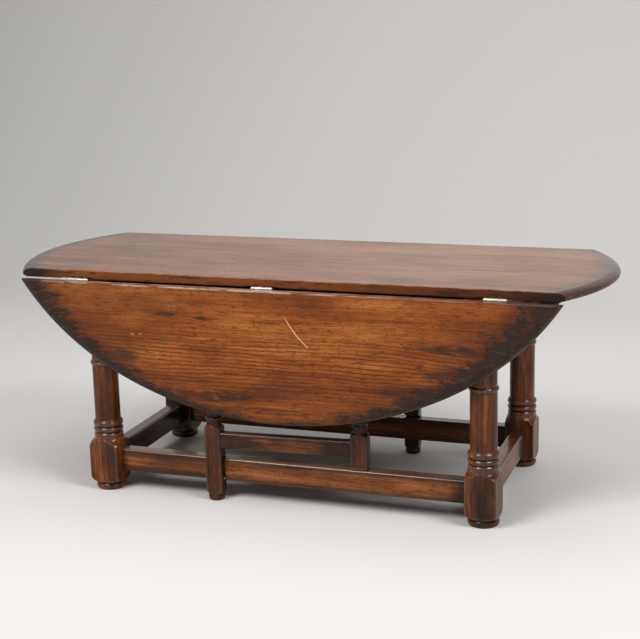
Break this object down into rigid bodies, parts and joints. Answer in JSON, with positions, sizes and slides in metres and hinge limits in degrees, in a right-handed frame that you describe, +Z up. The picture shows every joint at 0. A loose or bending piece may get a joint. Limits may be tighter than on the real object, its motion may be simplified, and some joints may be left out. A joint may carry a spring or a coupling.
{
  "type": "gateleg coffee table",
  "caption": "Low oval drop-leaf table in dark oak: turned legs joined by stretchers, leaves hanging on brass hinges and swinging gates that prop a raised leaf.",
  "frame": {"origin": "on the floor under the middle of the table", "axes": "+X along the table's length, -Y to the front, where the hanging leaf of the picture is, +Z up"},
  "size_m": [1.22, 0.4688, 0.46],
  "materials": {
    "top_oak": "waxed satin",
    "leaf_oak": "waxed satin",
    "frame_oak": "dark waxed",
    "hinge_brass": "worn",
    "screw_steel": "dull"
  },
  "bodies": {
    "frame": {"button_screws": "screw_steel", "centre_top": "top_oak", "front_frieze_rail": "frame_oak", "front_hinge_top_screws": "screw_steel", "front_left_hinge_pin": "hinge_brass", "front_left_hinge_top_plate": "hinge_brass", "front_left_leg": "frame_oak", "front_middle_hinge_pin": "hinge_brass", "front_middle_hinge_top_plate": "hinge_brass", "front_right_hinge_pin": "hinge_brass", "front_right_hinge_top_plate": "hinge_brass", "front_right_leg": "frame_oak", "front_stretcher": "frame_oak", "left_frieze_rail": "frame_oak", "left_stretcher": "frame_oak", "rear_frieze_rail": "frame_oak", "rear_hinge_top_screws": "screw_steel", "rear_left_hinge_pin": "hinge_brass", "rear_left_hinge_top_plate": "hinge_brass", "rear_left_leg": "frame_oak", "rear_middle_hinge_pin": "hinge_brass", "rear_middle_hinge_top_plate": "hinge_brass", "rear_right_hinge_pin": "hinge_brass", "rear_right_hinge_top_plate": "hinge_brass", "rear_right_leg": "frame_oak", "rear_stretcher": "frame_oak", "right_frieze_rail": "frame_oak", "right_stretcher": "frame_oak", "top_buttons": "frame_oak"},
    "front_leaf": {"front_hinge_leaf_screws": "screw_steel", "front_leaf": "leaf_oak", "front_left_hinge_leaf_plate": "hinge_brass", "front_middle_hinge_leaf_plate": "hinge_brass", "front_right_hinge_leaf_plate": "hinge_brass"},
    "rear_leaf": {"rear_hinge_leaf_screws": "screw_steel", "rear_leaf": "leaf_oak", "rear_left_hinge_leaf_plate": "hinge_brass", "rear_middle_hinge_leaf_plate": "hinge_brass", "rear_right_hinge_leaf_plate": "hinge_brass"},
    "front_gate": {"front_gate_leg": "frame_oak", "front_gate_lower_rail": "frame_oak", "front_gate_pivot_post": "frame_oak", "front_gate_upper_rail": "frame_oak"},
    "rear_gate": {"rear_gate_leg": "frame_oak", "rear_gate_lower_rail": "frame_oak", "rear_gate_pivot_post": "frame_oak", "rear_gate_upper_rail": "frame_oak"}
  },
  "joints": [
    {"name": "front_leaf_hinge", "type": "hinge", "parent": "frame", "child": "front_leaf", "pos_m": [0, -0.215, 0.4406], "axis": [-1, 0, 0], "range_deg": [0, 90]},
    {"name": "rear_leaf_hinge", "type": "hinge", "parent": "frame", "child": "rear_leaf", "pos_m": [0, 0.215, 0.4406], "axis": [1, 0, 0], "range_deg": [0, 90]},
    {"name": "front_gate_swing", "type": "hinge", "parent": "frame", "child": "front_gate", "pos_m": [0.1475, -0.17375, 0.2], "axis": [0, 0, 1], "range_deg": [-3.4, 1.4]},
    {"name": "rear_gate_swing", "type": "hinge", "parent": "frame", "child": "rear_gate", "pos_m": [-0.1475, 0.17375, 0.2], "axis": [0, 0, 1], "range_deg": [-3.4, 1.4]}
  ]
}
